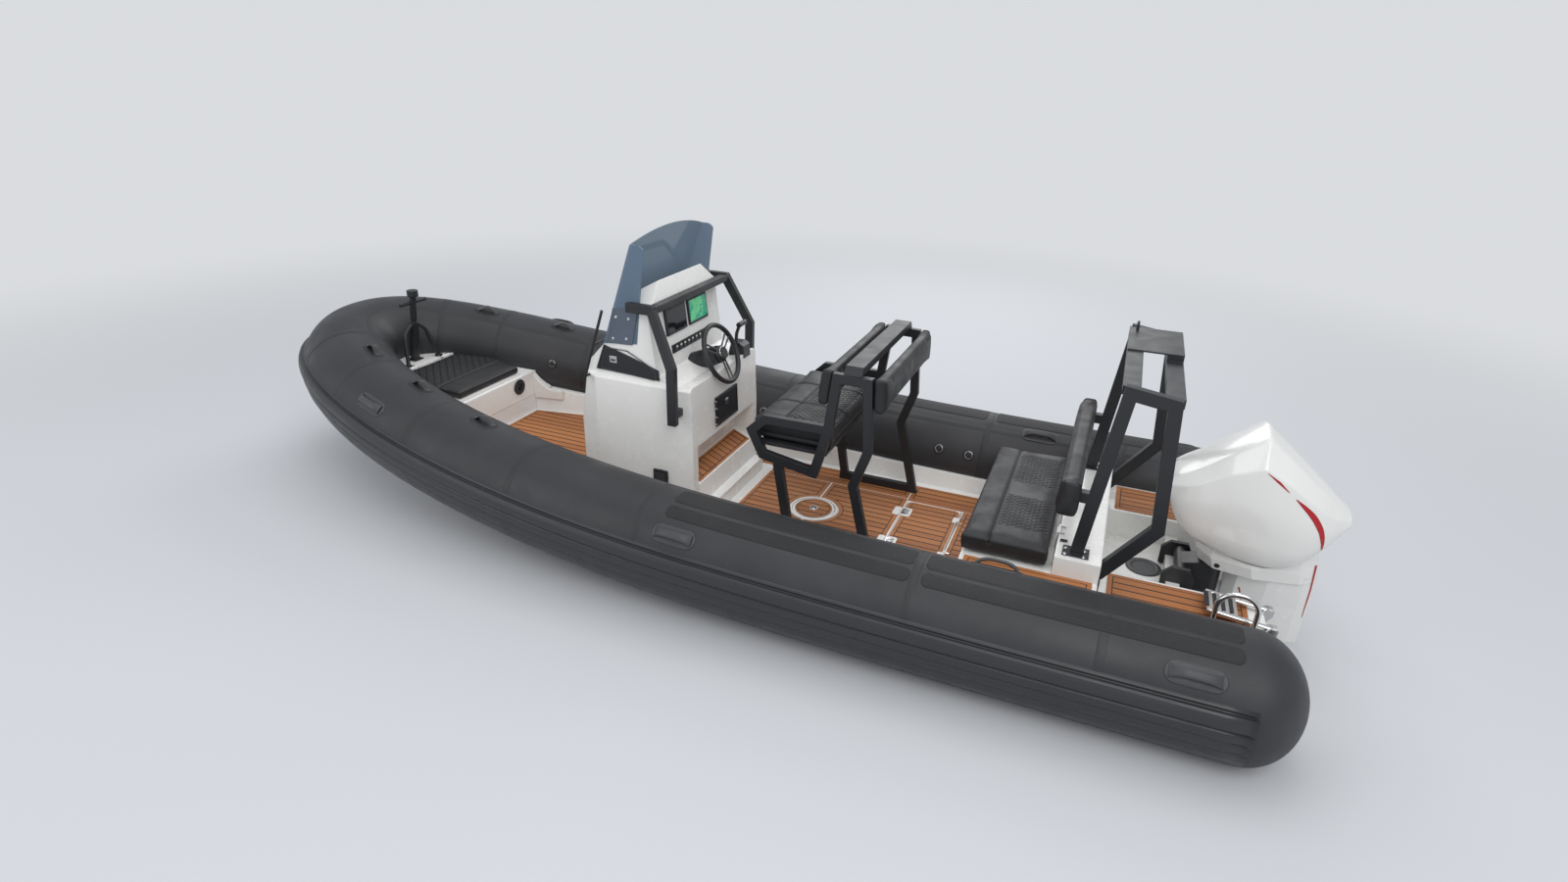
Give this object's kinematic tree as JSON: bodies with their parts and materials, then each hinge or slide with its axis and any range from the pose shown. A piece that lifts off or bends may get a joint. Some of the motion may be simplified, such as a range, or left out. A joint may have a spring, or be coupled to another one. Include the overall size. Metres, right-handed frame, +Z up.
{
  "type": "inflatable rib boat",
  "caption": "Rigid inflatable boat with deep V hull, inflated tube collar, centre console, helm seat, stern bench, arch and tilting outboard",
  "frame": {"origin": "transom's aft face, on the centreline, at the water's surface", "axes": "+X forward to the bow, +Y to port, +Z up"},
  "size_m": [6.3655, 2.4998, 2.538],
  "materials": {
    "tube": "matt coated tube fabric, dark grey",
    "strake": "satin moulded rubber, dark grey",
    "patch": "matt ribbed rubber, near black",
    "valve": "matt moulded plastic, black",
    "hull_white": "gloss gelcoat, white",
    "deck_white": "satin gelcoat, white",
    "hatch_white": "satin gelcoat, white",
    "teak": "brushed teak look decking with black caulk lines",
    "cushion": "quilted marine vinyl, near black",
    "frame_black": "satin powder coat, black",
    "panel_black": "satin moulded plastic, black",
    "wheel_black": "soft grip plastic, black",
    "screen": "tinted acrylic",
    "polished_steel": "polished stainless steel",
    "engine_black": "satin paint, black",
    "engine_white": "gloss paint, white",
    "propeller_metal": "polished stainless steel"
  },
  "bodies": {
    "boat": {"tube_port": "tube", "tube_starboard": "tube", "tube_bow": "tube", "rub_strake": "strake", "wear_patches": "patch", "grab_handles": "patch", "strap_handles": "patch", "valves": "valve", "hull": "hull_white", "deck_moulding": "deck_white", "stern_moulding": "deck_white", "bench_moulding": "deck_white", "bow_locker": "deck_white", "foredeck": "deck_white", "console": "deck_white", "sole_covering": "teak", "platform_covering": "teak", "inspection_plate": "hatch_white", "seat_cushion": "cushion", "seat_back_aft": "cushion", "seat_back_forward": "cushion", "bench_backrest": "cushion", "seat_pan": "frame_black", "seat_frame": "frame_black", "arch_sides": "frame_black", "arch_crossbars": "frame_black", "console_rails": "frame_black", "console_fittings": "panel_black", "throttle": "panel_black", "helm_boss": "panel_black", "windscreen": "screen", "bow_post": "frame_black", "platform_fittings": "polished_steel", "towing_eyes": "polished_steel", "lid_hinges": "polished_steel", "clamp_bracket": "engine_black"},
    "steering_wheel": {"steering_wheel": "wheel_black"},
    "console_door": {"console_door": "panel_black"},
    "bow_lid": {"bow_lid": "hatch_white", "bow_cushion": "cushion"},
    "bench_lid": {"bench_lid": "hatch_white", "bench_cushion": "cushion"},
    "deck_hatch": {"deck_hatch": "teak"},
    "ladder": {"boarding_ladder": "polished_steel"},
    "swivel": {"swivel_bracket": "engine_black"},
    "outboard": {"engine_cowl": "engine_white", "engine_leg": "engine_white", "engine_gearcase": "engine_white"},
    "propeller": {"propeller": "propeller_metal"}
  },
  "joints": [
    {"name": "engine_tilt", "type": "hinge", "parent": "boat", "child": "swivel", "pos_m": [0.004, 0, 0.305], "axis": [0, 1, 0], "range_deg": [0, 34]},
    {"name": "engine_steer", "type": "hinge", "parent": "swivel", "child": "outboard", "pos_m": [-0.14, 0, 0.2], "axis": [0, 0, 1], "range_deg": [-30, 30]},
    {"name": "propeller_spin", "type": "hinge", "parent": "outboard", "child": "propeller", "pos_m": [-0.6, 0, -0.59], "axis": [1, 0, 0], "continuous": true},
    {"name": "wheel_turn", "type": "hinge", "parent": "boat", "child": "steering_wheel", "pos_m": [2.637, 0, 1.021], "axis": [-0.9063, 0, 0.4226], "range_deg": [-720, 720]},
    {"name": "console_door_swing", "type": "hinge", "parent": "boat", "child": "console_door", "pos_m": [2.57276, 0.1543, 0.71805], "axis": [-0.0429, 0, -0.9991], "range_deg": [0, 100]},
    {"name": "bow_lid_lift", "type": "hinge", "parent": "boat", "child": "bow_lid", "pos_m": [4.88, 0, 0.6293], "axis": [0, 1, 0], "range_deg": [0, 80]},
    {"name": "bench_lid_lift", "type": "hinge", "parent": "boat", "child": "bench_lid", "pos_m": [0.6, 0, 0.5223], "axis": [0, -1, 0], "range_deg": [0, 60]},
    {"name": "deck_hatch_lift", "type": "hinge", "parent": "boat", "child": "deck_hatch", "pos_m": [1.1715, 0, 0.152], "axis": [0, -1, 0], "range_deg": [0, 95]},
    {"name": "ladder_swing", "type": "hinge", "parent": "boat", "child": "ladder", "pos_m": [-0.3495, 0.4825, 0.371], "axis": [0, -1, 0], "range_deg": [0, 260]}
  ],
  "couplings": [
    {"joint": "wheel_turn", "follows": "engine_steer", "ratio": -24}
  ]
}
